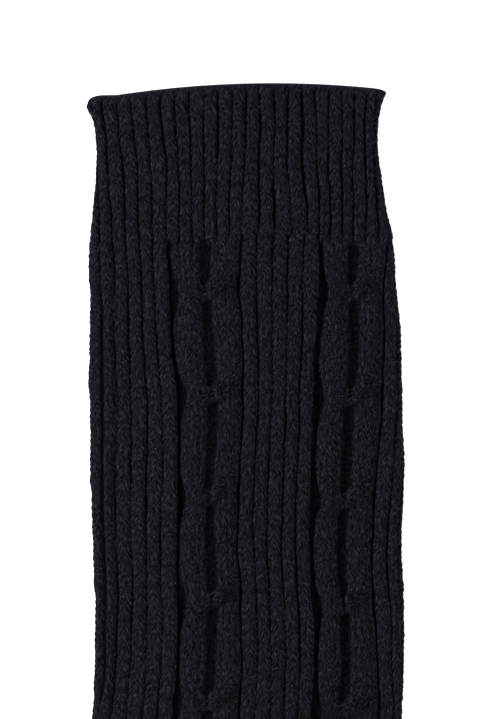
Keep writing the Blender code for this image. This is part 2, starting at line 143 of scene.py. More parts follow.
# Silhouette of the leg: the way down as a share of the straight leg, and the distances of the two
# folds from the leg's middle line as shares of its width
OUTLINE_COLUMNS = ("down", "shin", "calf")
OUTLINE = (
    (0.000, 0.502, 0.448),
    (0.013, 0.515, 0.435),
    (0.034, 0.496, 0.423),
    (0.063, 0.486, 0.417),
    (0.105, 0.486, 0.426),
    (0.162, 0.496, 0.445),
    (0.219, 0.505, 0.471),
    (0.276, 0.500, 0.477),
    (0.332, 0.502, 0.490),
    (0.419, 0.502, 0.496),
    (0.534, 0.500, 0.502),
    (0.643, 0.493, 0.496),
    (0.726, 0.486, 0.502),
    (0.838, 0.490, 0.499),
    (0.885, 0.499, 0.496),
)

# Valley lines of the upper layer, as shares of the flat width from the shin fold. The ribs at which
# they run are in LINE_RIBS.
LINE_COLUMNS = ("down", "left_block", "left_panel", "left_cable", "middle_block",
                "right_panel", "right_cable", "right_block")
LINES = (
    (0.000, -0.007, 0.235, 0.382, 0.522, 0.755, 0.886, 1.007),
    (0.013, 0.007, 0.248, 0.396, 0.535, 0.769, 0.900, 1.021),
    (0.034, -0.010, 0.239, 0.389, 0.533, 0.775, 0.910, 1.032),
    (0.063, -0.017, 0.239, 0.386, 0.531, 0.781, 0.916, 1.035),
    (0.105, -0.007, 0.248, 0.382, 0.521, 0.774, 0.902, 1.026),
    (0.162, 0.013, 0.254, 0.378, 0.512, 0.769, 0.888, 1.014),
    (0.219, 0.032, 0.254, 0.375, 0.499, 0.751, 0.862, 0.986),
    (0.270, 0.033, 0.254, 0.372, 0.489, 0.744, 0.850, 0.965),
    (0.340, 0.032, 0.260, 0.376, 0.492, 0.727, 0.846, 0.949),
    (0.435, 0.036, 0.276, 0.388, 0.494, 0.711, 0.826, 0.938),
    (0.545, 0.029, 0.277, 0.376, 0.475, 0.701, 0.809, 0.914),
    (0.655, 0.026, 0.268, 0.378, 0.472, 0.698, 0.798, 0.901),
    (0.765, 0.020, 0.265, 0.374, 0.477, 0.706, 0.806, 0.910),
    (0.860, 0.012, 0.260, 0.366, 0.479, 0.706, 0.802, 0.925),
)
LINE_RIBS = (-5, 0, 3, 6, 11, 14, 17)

# Valleys where the ribs lie apart: the rib after the valley, the way where it opens and closes, half
# of its width in ribs, its depth, and how high the purl bars stand in it
OPEN_VALLEYS = (
    (-4, 0.004, 0.026, 0.20, 0.0024, 0.0),
    (0, 0.003, 0.028, 0.17, 0.0024, 0.0),
    (4, 0.002, 0.024, 0.17, 0.0024, 0.0),
    (7, 0.010, 0.045, 0.17, 0.0024, 0.0),
    (8, 0.032, 0.047, 0.22, 0.0025, 0.0),
    (9, 0.002, 0.016, 0.18, 0.0024, 0.0),
    (10, 0.003, 0.037, 0.22, 0.0026, 0.0),
    (11, 0.028, 0.040, 0.18, 0.0024, 0.0),
    (15, 0.010, 0.029, 0.18, 0.0024, 0.0),
    (-5, 0.070, 0.205, 0.36, 0.0030, 0.0),
    (-4, 0.056, 0.300, 0.36, 0.0022, 0.0005),
    (10, 0.140, 0.195, 0.16, 0.0024, 0.0),
)
OPENS_OVER = 0.007  # length over which such a valley opens

# Cable panels: the rib in the middle, the way to the first crossing, the way from one to the next,
# how wide the valley on the left is beyond the usual, in ribs, and how strong the relief is
PANEL_COLUMNS = ("middle", "first", "pitch", "apart", "relief")
PANELS = (
    (-8, 0.0670, 0.0343, 0.0, 0.5),
    (3, 0.0680, 0.0343, 0.0, 1.0),
    (14, 0.0680, 0.0350, 0.12, 1.0),
    (27, 0.0680, 0.0343, 0.0, 0.5),
    (40, 0.0670, 0.0343, 0.0, 0.5),
)
LEFT_EDGES = (-2.78, -0.34)  # the left cable column, in ribs from the panel's middle
RIGHT_EDGES = (0.56, 2.92)
STRAND_WALES = 4
NOWHERE = -9.0  # a height at which there is nothing
# Middle and length of the way on which the front strand's left edge crosses, and its right edge
INNER_CROSSES = (-0.0008, 0.0070)
OUTER_CROSSES = (0.0028, 0.0045)
# How far a crossing pulls the outer edge of each column in, in ribs, with the middle of that and how
# far it reaches
LEFT_PULL = (0.58, 0.0020, 0.0065)
RIGHT_PULL = (0.16, -0.0015, 0.0060)
CROSSING_LIFT = 0.65 * MM  # how far the front strand rises over the other, and how far that reaches
LIFT_REACH = 0.00675
LEAN = (-0.0010, 0.0056)  # where the front strand's stitches lean, and how far that reaches
SADDLE = 1.8 * MM  # dip of the front strand over the valley between the columns
SADDLE_HALF = 0.36
HATCH = 1.3  # leaning legs of stitches to a course
HATCH_RELIEF = 2.2  # their grooves' depth against that of upright ones

# Zones of the tube: the kind of knit, its first and last rib, and whether its mesh is fine
CUFF_ZONES = (
    ("rib", -8, 21, True),
    ("rib", 21, 40, False),
)
LEG_ZONES = (
    ("cable", -8, -5, True),
    ("rib", -5, 0, True),
    ("cable", 0, 3, True),
    ("cable", 3, 6, True),
    ("rib", 6, 11, True),
    ("cable", 11, 14, True),
    ("cable", 14, 17, True),
    ("rib", 17, 21, True),
    ("rib", 21, 24, False),
    ("cable", 24, 27, False),
    ("cable", 27, 30, False),
    ("rib", 30, 37, False),
    ("cable", 37, 40, False),
)
FOOT_ZONES = (
    ("cable", -8, -5, True),
    ("rib", -5, 0, True),
    ("cable", 0, 3, True),
    ("cable", 3, 6, True),
    ("plain", 6, 20, True),
    ("plain", 20, 30, False),
    ("rib", 30, 37, False),
    ("cable", 37, 40, False),
)
HEEL_ZONES = (
    ("plain", HEEL_TIPS[0], 20, True),
    ("plain", 20, HEEL_TIPS[1], False),
)
TOE_ZONES = (
    ("plain", -6, 20, True),
    ("plain", 20, 42, False),
)

# Light, camera and floor, in metres and watts
LIT_PLACE = (0.06, 0.09)  # what the lamps point at
LAMP_SIDE = 1.2  # how far to the side of it they stand
LAMP_HEIGHT = 0.92
LAMP_SIZE = (0.9, 0.45)
LEFT_POWER = 31.0
RIGHT_POWER = 15.0
ROOM_LIGHT = 0.36
VIEW_HEIGHT = 0.23967  # what the photograph shows of the sock, from its top to its bottom
VIEW_MIDDLE = (-0.0025, -0.09183)  # from the mouth's middle
CAMERA_HEIGHT = 2.0
SENSOR = 36.0
FLOOR_HALF = 3.0

# Worked out from the sizes above
FOLD_RADIUS = FOLD_THICKNESS / 2
INSTEP_Y = FOOT_WIDTH - SOCK_LENGTH
STRAIGHT = -INSTEP_Y - INSTEP_RADIUS
BEND_X = -ANKLE_WIDTH / 2 - INSTEP_RADIUS
BEND_Y = -STRAIGHT
TOE_TIP_X = ANKLE_WIDTH / 2 - FOOT_LENGTH
FOOT_RUN = BEND_X - TOE_TIP_X - TOE_LENGTH
DEGREE = 1e-3
BEND_END = STRAIGHT + BEND * DEGREE
BEND_MIDDLE = STRAIGHT + BEND / 2 * DEGREE
MOVE = np.array([CAD_LOW.x - TOE_TIP_X, CAD_HIGH.y, 0.0])


def column(rows, names, name):
    """One named column of a table."""
    return np.array([row[names.index(name)] for row in rows], float)


def smooth_read(at, known, values):
    """A table read as one smooth curve: cubic between its rows, with the slopes of their neighbours."""
    slopes = np.gradient(values, known)
    at = np.clip(at, known[0], known[-1])
    k = np.clip(np.searchsorted(known, at, side="right") - 1, 0, len(known) - 2)
    step = known[k + 1] - known[k]
    t = (at - known[k]) / step
    keep = (1 + 2 * t) * (1 - t) ** 2
    gain = t ** 2 * (3 - 2 * t)
    return (values[k] * keep + values[k + 1] * gain
            + slopes[k] * step * t * (1 - t) ** 2 + slopes[k + 1] * step * t ** 2 * (t - 1))


def ease(t):
    """0 before 0 and 1 after 1, with a smooth step between."""
    t = np.clip(t, 0.0, 1.0)
    return t * t * (3 - 2 * t)


def wander(a, b, seed, turns=97):
    """Seeded unevenness from -1 to 1: a random value at each whole a and b, eased between them.

    It repeats after as many whole steps of a as turns says, so that it closes round the tube.
    """
    steps = 211
    table = np.random.default_rng(seed).uniform(-1, 1, (turns, steps))
    whole_a, whole_b = np.floor(a).astype(int), np.floor(b).astype(int)
    share_a, share_b = ease(a - whole_a), ease(b - whole_b)
    this_a, next_a = whole_a % turns, (whole_a + 1) % turns
    this_b, next_b = whole_b % steps, (whole_b + 1) % steps
    low = table[this_a, this_b] * (1 - share_a) + table[next_a, this_b] * share_a
    high = table[this_a, next_b] * (1 - share_a) + table[next_a, next_b] * share_a
    return low * (1 - share_b) + high * share_b


def folds(way):
    """Centre lines of the shin and instep fold, and of the calf, heel and sole fold.

    Down the leg they follow the outline table and end at the ankle's width. Round the bend the instep
    is a circle and the heel a rounded square about the same centre. Then both run along -X.
    """
    down = np.clip(way, 0.0, STRAIGHT)
    known = column(OUTLINE, OUTLINE_COLUMNS, "down") * STRAIGHT
    into = np.clip((down - known[-1]) / (STRAIGHT - known[-1]), 0.0, 1.0)
    shin = smooth_read(down, known, column(OUTLINE, OUTLINE_COLUMNS, "shin") * LEG_WIDTH)
    calf = smooth_read(down, known, column(OUTLINE, OUTLINE_COLUMNS, "calf") * LEG_WIDTH)
    shin_x = -(shin + (ANKLE_WIDTH / 2 - shin) * ease(into))
    calf_x = calf + (ANKLE_WIDTH / 2 - calf) * ease(into)

    angle = np.radians(np.clip((way - STRAIGHT) / DEGREE, 0.0, BEND))
    cos, sin = np.cos(angle), np.sin(angle)
    share = angle / math.radians(BEND)
    reach = (ANKLE_WIDTH + INSTEP_RADIUS) * (1 - share) + (FOOT_WIDTH + INSTEP_RADIUS) * share
    rounding = np.abs(cos) ** HEEL_SQUARENESS + np.abs(sin) ** HEEL_SQUARENESS
    reach = reach * rounding ** (-1 / HEEL_SQUARENESS)
    run = np.clip(way - BEND_END, 0.0, None)
    bent = way > STRAIGHT
    shin_x = np.where(bent, BEND_X + INSTEP_RADIUS * cos - run, shin_x)
    shin_y = np.where(bent, BEND_Y - INSTEP_RADIUS * sin, -down)
    calf_x = np.where(bent, BEND_X + reach * cos - run, calf_x)
    calf_y = np.where(bent, BEND_Y - reach * sin, -down)
    return shin_x, shin_y, calf_x, calf_y


def girth_place(ribs, way):
    """Length round the section from the shin fold to a place counted in ribs.

    On the upper layer the valley lines are placed by their table, with even ribs between two lines.
    The rest of the ribs share the hidden part of the girth.
    """
    ribs, way = np.broadcast_arrays(ribs, way)
    shin_x, shin_y, calf_x, calf_y = folds(way)
    width = np.hypot(calf_x - shin_x, calf_y - shin_y)
    straight = width - FOLD_THICKNESS
    girth = 2 * straight + 2 * math.pi * FOLD_RADIUS
    start = math.pi / 2 * FOLD_RADIUS + straight / 2
    known = column(LINES, LINE_COLUMNS, "down") * STRAIGHT
    marks = list(LINE_RIBS) + [LINE_RIBS[0] + RIBS_ROUND]
    turns = np.floor((ribs - marks[0]) / RIBS_ROUND)
    rest = ribs - turns * RIBS_ROUND
    lines = [start + (smooth_read(way, known, column(LINES, LINE_COLUMNS, name)) - 0.5) * width
             for name in LINE_COLUMNS[1:]]
    lines.append(lines[0] + girth)
    place = np.zeros(ribs.shape)
    for k in range(len(marks) - 1):
        inside = (rest >= marks[k]) & (rest < marks[k + 1])
        share = (rest - marks[k]) / (marks[k + 1] - marks[k])
        place = np.where(inside, lines[k] + (lines[k + 1] - lines[k]) * share, place)
    return place + turns * girth


def on_tube(place, way, lift):
    """A point of the flattened tube, from its length round the section, its way and its height.

    The section is two straight runs joined by half circles, and the upper run is crowned by
    (1 - u^2)^2, with u from -1 at one fold to 1 at the other. The lift counts outwards from the
    solid's surface, and the lower layer is pressed flat on z = 0. Near the mouth the courses are
    bowed, as the square of the distance from its crest, and the lower layer shows a little beyond.
    """
    shin_x, shin_y, calf_x, calf_y = folds(way)
    width = np.hypot(calf_x - shin_x, calf_y - shin_y)
    across_x, across_y = (calf_x - shin_x) / width, (calf_y - shin_y) / width
    half = width / 2 - FOLD_RADIUS
    quarter = math.pi / 2 * FOLD_RADIUS
    top_start, top_end = quarter, quarter + 2 * half
    low_start, low_end = top_end + 2 * quarter, top_end + 2 * quarter + 2 * half
    place = np.mod(place, low_end + quarter)
    turned = np.clip(place, 0, top_start) + np.clip(place - top_end, 0, 2 * quarter)
    turned = turned + np.clip(place - low_end, 0, quarter)
    angle = math.pi - turned / FOLD_RADIUS
    middle = np.clip(place - top_start, 0, 2 * half) - np.clip(place - low_start, 0, 2 * half) - half
    upper = np.sin(angle) > 0
    crown = CROWN * np.where(upper, (1 - (middle / half) ** 2) ** 2, 0.0)
    out = middle + (FOLD_RADIUS + lift) * np.cos(angle)
    up = np.maximum(FOLD_RADIUS + (FOLD_RADIUS + lift) * np.sin(angle), 0.0) + crown
    x = (shin_x + calf_x) / 2 + across_x * out
    y = (shin_y + calf_y) / 2 + across_y * out
    down = np.clip(way, 0.0, STRAIGHT)
    bow = np.clip(np.abs(x - MOUTH_CREST) / (LEG_WIDTH / 2), 0.0, 1.0) ** 2
    y = y - MOUTH_ARCH * np.clip(1 - down / MOUTH_ARCH_FADES, 0.0, 1.0) * bow
    y = y + LOWER_LIP * np.clip(-np.sin(angle), 0, 1) * np.exp(-down / LIP_FADES)
    return np.stack(np.broadcast_arrays(x, y, up), axis=-1)


def wale_shares(fine):
    """Places of the mesh's columns across one wale, as shares of its width."""
    if fine:
        return np.array([0.0, 0.07, 0.15, 0.25, 0.36, 0.5, 0.64, 0.75, 0.85, 0.93])
    return np.array([0.0, 0.12, 0.28, 0.5, 0.72, 0.88])


def zone_columns(kind, start, stop, fine):
    """Places of the mesh's columns in a zone, in ribs.

    A rib is one wale and plain knit has two wales to a rib. A cable strand has a few columns in the
    valley on each side, and evenly spaced ones in each of its wales.
    """
    if kind == "rib":
        steps = wale_shares(fine)
        return (np.arange(start, stop)[:, None] + steps[None, :]).ravel()
    if kind == "plain":
        steps = np.array([0.0, 0.22, 0.5, 0.78]) if fine else np.array([0.0, 0.5])
        return (np.arange(2 * start, 2 * stop)[:, None] + steps[None, :]).ravel() / 2
    if stop in column(PANELS, PANEL_COLUMNS, "middle"):
        low, high = stop + LEFT_EDGES[0], stop + LEFT_EDGES[1]
    else:
        low, high = start + RIGHT_EDGES[0], start + RIGHT_EDGES[1]
    count = 4 if fine else 2
    wales = np.linspace(low, high, STRAND_WALES * count + 1)
    left = np.linspace(start, low, 5 if fine else 2)[:-1]
    right = np.linspace(high, stop, 5 if fine and stop - high > 0.1 else 2)[1:-1]
    return np.concatenate([left, wales, right])


class Knit:
    """The columns of a piece's mesh round the tube: their ribs, and the kind of knit at each."""

    def __init__(self, zones, closed):
        ribs, kinds = [], []
        for kind, start, stop, fine in zones:
            places = zone_columns(kind, start, stop, fine)
            ribs.append(places)
            kinds += [kind] * len(places)
        ribs.append([zones[0][1] + RIBS_ROUND if closed else zones[-1][2]])
        kinds.append(zones[0][0] if closed else zones[-1][0])
        self.ribs = np.concatenate(ribs)
        self.kinds = np.array(kinds)
        self.full_rise = np.array([RISES[kind] for kind in kinds])
        self.rise = np.abs(self.rest_wale()) * self.full_rise

    def rest_wale(self):
        """Place across its own wale of each column, from -1 to 1, away from any crossing."""
        across = np.where(self.kinds == "plain", 2 * self.ribs, self.ribs)
        wale = 2 * (across - np.floor(across)) - 1
        for middle in column(PANELS, PANEL_COLUMNS, "middle"):
            for edges, start in ((LEFT_EDGES, -3), (RIGHT_EDGES, 0)):
                local = self.ribs - middle
                near = (self.kinds == "cable") & (local >= start) & (local <= start + 3)
                share = (2 * local - edges[0] - edges[1]) / (edges[1] - edges[0])
                inside = np.abs(share) <= 1
                local = 2 * np.mod((share + 1) * STRAND_WALES / 2, 1.0) - 1
                wale = np.where(near, np.where(inside, local, 1.0), wale)
        return wale


def dome(across, power):
    """A rounded crest: 0 at the middle and -1 at both edges, as a super-ellipse of the power given."""
    across = np.clip(np.abs(across), 0.0, 1.0)
    return (1 - across ** power) ** (1 / power) - 1


def stitch(phase):
    """Height across a stitch's leg, from 0 in the groove between two legs to 1 on its crest."""
    return np.abs(np.sin(np.pi * phase)) ** 0.8


def rib_dome(wale):
    """The rounded form of a rib without its stitches."""
    return dome(wale / RIB_WIDTH, RIB_ROUNDNESS)


def rib_height(wale, phase, valley, relief):
    """A rib: the two rounded legs of its stitches side by side, with grooves between the stitches."""
    height = valley * rib_dome(wale)
    height = height - WALE_GROOVE * np.clip(1 - np.abs(wale) / 0.50, 0, 1) ** 1.2
    # how deep the grooves are from the rib's middle to its edge
    weight = np.interp(np.abs(wale), [0.0, 0.3, 0.8, 1.0], [0.7, 1.0, 1.1, 0.3])
    return height - relief * (1 - stitch(phase)) * weight


def plain_height(wale, phase, relief):
    """Plain knit: wales side by side, with a groove between wales and one between the legs."""
    height = PLAIN_GROOVE * dome(wale, 2.2)
    height = height - 0.5 * WALE_GROOVE * np.clip(1 - np.abs(wale) / 0.45, 0, 1) ** 1.5
    return height - relief * (1 - stitch(phase))


def strand_height(local, low, high, course, relief, lean):
    """A cable strand of four wales on a low dome between two edges, and the phase of its stitches.

    Where the strand leans, both legs of its stitches run the same way, up to the right, and lie closer.
    """
    share = (2 * local - low - high) / (high - low)
    inside = 1 - np.clip(np.abs(share), 0, 1) ** 6
    wale = 2 * np.mod((share + 1) * STRAND_WALES / 2, 1.0) - 1
    phase = course - RISES["cable"] * np.abs(wale) * (1 - lean) + lean * (local - (low + high) / 2)
    upright = 1 - 0.9 * lean
    height = STRAND_VALLEY * dome(share, STRAND_ROUNDNESS)
    height = height + STRAND_WALE * upright * dome(wale, 2.0) * inside
    height = height - 0.30 * WALE_GROOVE * upright * np.clip(1 - np.abs(wale) / 0.45, 0, 1)
    hatch = 1 - stitch(HATCH * (course + local))
    grooves = (1 - stitch(phase)) * (1 - lean) + HATCH_RELIEF * hatch * lean
    height = height - relief * grooves * inside
    return np.where(np.abs(share) < 1, height, NOWHERE), phase


def bell(distance, middle, width):
    """1 at the middle and falling to 0 on both sides, as exp(-x^2)."""
    return np.exp(-((distance - middle) / width) ** 2)


def crossed(distance, crosses):
    """How far an edge of the front strand has crossed, from 0 to 1, as an eased step."""
    middle, length = crosses
    return ease((distance - middle) / length + 0.5)


def cable_height(ribs, way, course, relief):
    """A cable panel: two columns of four wales, and a front strand that crosses them.

    The front strand lies on the right column and goes over to the left one: its left edge crosses
    sooner, and its right edge later and quicker. There its stitches lean. A crossing pulls the
    columns' outer edges in. Of the strand, the columns and the valleys' floor, what lies highest
    shows. Between the columns the floor rises to both sides as x^3.2.
    """
    height = np.full(ribs.shape, NOWHERE)
    phase = course - RISES["cable"]
    for middle, first, pitch, apart, strength in PANELS:
        near = np.abs(ribs - middle) <= 3.0
        if not near.any():
            continue
        local = ribs - middle
        turn = np.maximum(np.round((way - first) / pitch), 0)
        distance = way - first - turn * pitch
        bump = strength * bell(distance, 0.0, LIFT_REACH)
        left_low = LEFT_EDGES[0] + apart + LEFT_PULL[0] * bell(distance, *LEFT_PULL[1:])
        right_high = RIGHT_EDGES[1] - RIGHT_PULL[0] * bell(distance, *RIGHT_PULL[1:])
        left_high, right_low = LEFT_EDGES[1], RIGHT_EDGES[0]
        between = (left_high + right_low) / 2
        front_low = right_low + (left_low - right_low) * crossed(distance, INNER_CROSSES)
        front_high = right_high + (left_high - right_high) * crossed(distance, OUTER_CROSSES)
        front_lift = CROSSING_LIFT - SADDLE * bell(local, between, SADDLE_HALF)
        layers = (
            (left_low, left_high, 0.0, -0.5 * CROSSING_LIFT),
            (right_low, right_high, 0.0, -0.5 * CROSSING_LIFT),
            (front_low, front_high, bell(distance, *LEAN), front_lift),
        )
        best_phase = course - RISES["cable"]
        slope = np.clip(np.abs(local - between) / MIDDLE_HALF, 0, 1)
        best = -STRAND_VALLEY - 0.25 * relief * (1 - stitch(best_phase))
        best = best + MIDDLE_SLOPE * slope ** MIDDLE_CURVE * (slope < 1)
        for low, high, lean, lift in layers:
            strand, strand_phase = strand_height(local, low, high, course, relief, lean)
            strand = strand + lift * bump
            best_phase = np.where(strand > best, strand_phase, best_phase)
            best = np.maximum(best, strand)
        height = np.where(near, best, height)
        phase = np.where(near, best_phase, phase)
    return height, phase


def open_valleys(ribs, way, course, height):
    """The height cut down to the open valleys' profile, 1 - (x / half)^3 deep, with bars on the floor."""
    for rib, start, stop, half, depth, bars in OPEN_VALLEYS:
        opened = ease((way - start) / OPENS_OVER + 0.5) * ease((stop - way) / OPENS_OVER + 0.5)
        share = np.abs(ribs - rib) / half
        deep = CREST_LIFT - depth * (1 - np.clip(share, 0, 1) ** 3) + bars * stitch(course) * (share < 1)
        cut = np.where(share < 1, np.minimum(height, deep), height)
        height = height + (cut - height) * opened
    return height


def surface(knit, course, way):
    """Height of the knit's face at each point of a grid, and the phase of its stitches.

    The stitches sit unevenly: each leg is pulled up or down by a part of a course, its relief
    changes, the valleys are closed and opened by slow waves, and the yarn itself is lumpy.
    """
    ribs = np.broadcast_to(knit.ribs, way.shape)
    kinds = np.broadcast_to(knit.kinds, way.shape)
    wale = np.broadcast_to(knit.rest_wale(), way.shape)
    jolt = JOLT * wander(2 * ribs, course, SEEDS["jolt"], 2 * RIBS_ROUND)
    relief = LEG_RELIEF * (1 + RELIEF_VARIES * wander(2 * ribs, course, SEEDS["relief"], 2 * RIBS_ROUND))
    valley = RIB_VALLEY * (1 + VALLEY_VARIES * wander(ribs, course / 6, SEEDS["valley"], RIBS_ROUND))
    pulled = course + jolt
    phase = pulled - knit.full_rise * np.abs(wale)
    height = rib_height(wale, phase, valley, relief)
    height = np.where(kinds == "plain", plain_height(wale, phase, relief), height)
    if (knit.kinds == "cable").any():
        cable, cable_phase = cable_height(ribs, way, pulled, relief)
        height = np.where(kinds == "cable", cable, height)
        phase = np.where(kinds == "cable", cable_phase, phase)
    height = height + CREST_LIFT * (kinds != "plain")
    height = np.where(kinds == "plain", height, open_valleys(ribs, way, pulled, height))
    crest = np.clip(1 + height / RIB_VALLEY, 0, 1)
    uneven = wander(ribs * 2, course, SEEDS["uneven"], 2 * RIBS_ROUND) * UNEVEN
    swell = wander(ribs, course / 5, SEEDS["swell"], RIBS_ROUND) * SWELL
    lumps = wander(ribs * 5, course * 2.3, SEEDS["lumps"], 5 * RIBS_ROUND) * LUMPS
    return np.maximum(height + (uneven + swell + lumps) * crest, THINNEST - WALL), phase


def sway(knit, way):
    """How far the ribs wander sideways: a slow and a quick wave down each rib."""
    ribs = np.broadcast_to(knit.ribs, way.shape)
    slow = SLOW_SWAY[0] * wander(ribs, way / SLOW_SWAY[1], SEEDS["slow sway"], RIBS_ROUND)
    return slow + QUICK_SWAY[0] * wander(ribs, way / QUICK_SWAY[1], SEEDS["quick sway"], RIBS_ROUND)


def weld(verts, faces):
    """The first of each group of points that coincide, and the faces renumbered to them."""
    keys = np.round(verts / WELD_WITHIN).astype(np.int64)
    first, back = np.unique(keys, axis=0, return_index=True, return_inverse=True)[1:]
    return first, back.ravel()[faces]


def make_piece(name, points, uv, crest, material):
    """A closed mesh from a grid of points whose rows run round and back to the first one.

    Quads that have lost an edge become triangles, and those without area or met twice are left out.
    """
    rows, columns = points.shape[:2]
    index = np.arange(rows * columns).reshape(rows, columns)
    around = [index[:-1, :-1], index[1:, :-1], index[1:, 1:], index[:-1, 1:]]
    quads = np.stack(around, axis=-1).reshape(-1, 4)
    points = points.reshape(-1, 3) + MOVE
    first, welded = weld(points, quads)
    same = welded == np.roll(welded, -1, axis=1)
    opposite = (welded[:, 0] == welded[:, 2]) | (welded[:, 1] == welded[:, 3])
    kept = (same.sum(axis=1) <= 1) & ~opposite
    welded, quads, same = welded[kept], quads[kept], same[kept]
    sizes = 4 - same.sum(axis=1)
    corners = welded[~same]
    corner_uv = uv.reshape(-1, 2)[quads[~same]]
    mesh = bpy.data.meshes.new(name)
    starts = np.concatenate([[0], np.cumsum(sizes)[:-1]])
    faces = [part.tolist() for part in np.split(corners, starts[1:])]
    mesh.from_pydata(points[first], [], faces)
    layer = mesh.uv_layers.new(name="yarn")
    layer.data.foreach_set("uv", corner_uv.astype(np.float32).ravel())
    # the crest attribute, each point's depth in the wall, sets the painted shade of the valleys in the
    # material
    crests = mesh.attributes.new("crest", "FLOAT", "POINT")
    crests.data.foreach_set("value", crest.ravel()[first].astype(np.float32))
    mesh.validate()
    mesh.materials.append(material)
    mesh.shade_smooth()
    piece = bpy.data.objects.new(name, mesh)
    bpy.context.scene.collection.objects.link(piece)
    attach(piece, "root")
    return piece


class Wall:
    """Blocks of a piece's grid, gathered row by row: outer face, rim, inner face and rim."""

    def __init__(self, knit):
        self.knit = knit
        self.points = []
        self.uv = []
        self.crest = []

    def add(self, way, lift, phase, jog=0.0, outer=True):
        """Rows at a way and height, with the stitches' phase as the pattern's second coordinate.

        The crest value counts from 0 at the wall's depth to 1 at its surface, and is 1 on the inside.
        The material darkens the colour by it, as painted shade in the valleys.
        """
        way, lift, phase, jog = np.broadcast_arrays(way, lift, phase, jog)
        place = girth_place(self.knit.ribs, way) + sway(self.knit, way) + jog
        wale = self.knit.rest_wale()
        # the knobs are largest on the flanks of a rib
        side = np.sign(wale) * np.interp(np.abs(wale), [0.3, 0.8, 1.0], [0.0, 1.0, 0.0])
        place = place + KNOBS * side * (2 * stitch(phase) - 1)
        self.points.append(on_tube(place, way, lift))
        self.crest.append(np.clip(1 + lift / WALL, 0, 1) if outer else np.ones(lift.shape))
        self.uv.append(np.stack([place, phase * COURSE], axis=-1) / CM)

    def finish(self, name, material):
        """The rows closed back to the first one, as a mesh."""
        points = np.concatenate(self.points + [self.points[0][:1]])
        uv = np.concatenate(self.uv + [self.uv[0][:1]])
        crest = np.concatenate(self.crest + [self.crest[0][:1]])
        return make_piece(name, points, uv, crest, material)


def course_rows(knit, count):
    """The course at each point of a piece's grid, whose rows are slanted along the stitches' legs.

    At both ends the rows are cut off straight, so that neighbouring pieces meet.
    """
    rows = np.arange(-math.ceil(knit.full_rise.max() * ROWS), count * ROWS + 1)[:, None] / ROWS
    return np.clip(rows + knit.rise[None, :], 0.0, count)


def make_cuff(material):
    """The cuff: ribs all round, a rounded mouth edge, and a plain inside."""
    knit = Knit(CUFF_ZONES, True)
    height = CUFF_HEIGHT - MOUTH_EDGE
    count = round(height / COURSE)
    course = course_rows(knit, count)
    way = MOUTH_EDGE + course * height / count
    lift, phase = surface(knit, course, way)
    # the ribs start shallow at the cast-on edge
    lift = lift * ease(course / 2.0 + 0.35)
    jog = CUFF_JOG * np.interp(knit.ribs, JOG_RIBS, JOG_SHARES) * ease((way - JOG_START) / JOG_LENGTH)
    wall = Wall(knit)
    wall.add(way, lift, phase, jog)
    inner = np.array(CUFF_INNER_ROWS)[:, None]
    wall.add(MOUTH_EDGE + inner * height, -WALL + 0 * knit.ribs, inner * count, outer=False)
    turn = np.linspace(math.pi, 0, 7)[1:-1, None]
    edge_lift = lift[0][None, :]
    middle, half = (edge_lift - WALL) / 2, (edge_lift + WALL) / 2
    wall.add(MOUTH_EDGE * (1 - np.sin(turn)), middle + half * np.cos(turn), 0 * turn, outer=False)
    piece = wall.finish("cuff_knit", material)
    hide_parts("cuff")


def heel_edge(ribs):
    """Half of the heel pocket's angle at each rib, as a length of the way.

    The pocket is widest at the heel's fold and narrows as 1 - x^3 to its two tips, with x the share
    of the girth from the fold to a tip.
    """
    tips = girth_place(np.array(HEEL_TIPS, float), BEND_MIDDLE)
    place = girth_place(ribs, BEND_MIDDLE)
    shin_x, shin_y, calf_x, calf_y = folds(np.array(BEND_MIDDLE))
    fold = math.pi * FOLD_RADIUS + math.hypot(calf_x - shin_x, calf_y - shin_y) - FOLD_THICKNESS
    share = np.where(place < fold, (fold - place) / (fold - tips[0]), (place - fold) / (tips[1] - fold))
    return HEEL_SPREAD * (1 - np.clip(share, 0, 1) ** 3)


def leg_way(course, knit, straight_count):
    """The way of each course of the leg: even down the straight leg, then shared out to the heel's edge."""
    step = (STRAIGHT - CUFF_HEIGHT) / straight_count
    end = BEND_MIDDLE - heel_edge(knit.ribs)
    bent = STRAIGHT + (end - STRAIGHT) * (course - straight_count) / BEND_COURSES
    return np.where(course <= straight_count, CUFF_HEIGHT + course * step, bent)


def cuff_ribs_end(knit, course, lift):
    """The start of the leg: the cuff's ribs run out into the cables within a few courses.

    Above the first column they end in a dip, where the cuff draws in, and above the middle block in
    a shallow one.
    """
    wale = 2 * (knit.ribs - np.floor(knit.ribs)) - 1
    ribs = CREST_LIFT + RIB_VALLEY * rib_dome(wale)
    started = ease((course - 0.2) / 1.6)
    blended = np.where(knit.kinds == "cable", ribs + (lift - ribs) * started, lift)
    dips = np.interp(knit.ribs, DIP_RIBS, DIP_DEPTHS) * MM
    blended = blended - dips * bell(course, 0.9, 0.8)
    return np.maximum(blended, THINNEST - WALL)


def make_leg(material):
    """The leg, in an upper and a lower piece that meet in the groove below a course."""
    knit = Knit(LEG_ZONES, True)
    straight_count = round((STRAIGHT - CUFF_HEIGHT) / COURSE)
    course = course_rows(knit, straight_count + BEND_COURSES)
    way = leg_way(course, knit, straight_count)
    lift, phase = surface(knit, course, way)
    lift = cuff_ribs_end(knit, course, lift)
    middle = (len(course) - 1) // 2
    for name, rows in (("leg_knit_upper", slice(0, middle + 1)), ("leg_knit_lower", slice(middle, None))):
        wall = Wall(knit)
        wall.add(way[rows], lift[rows], phase[rows])
        inner = np.linspace(1, 0, INNER_ROWS["leg"])[:, None]
        inner_way = way[rows][0] + (way[rows][-1] - way[rows][0]) * inner
        wall.add(inner_way, -WALL + 0 * inner_way, inner_way / COURSE, outer=False)
        piece = wall.finish(name, material)
        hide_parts("leg")


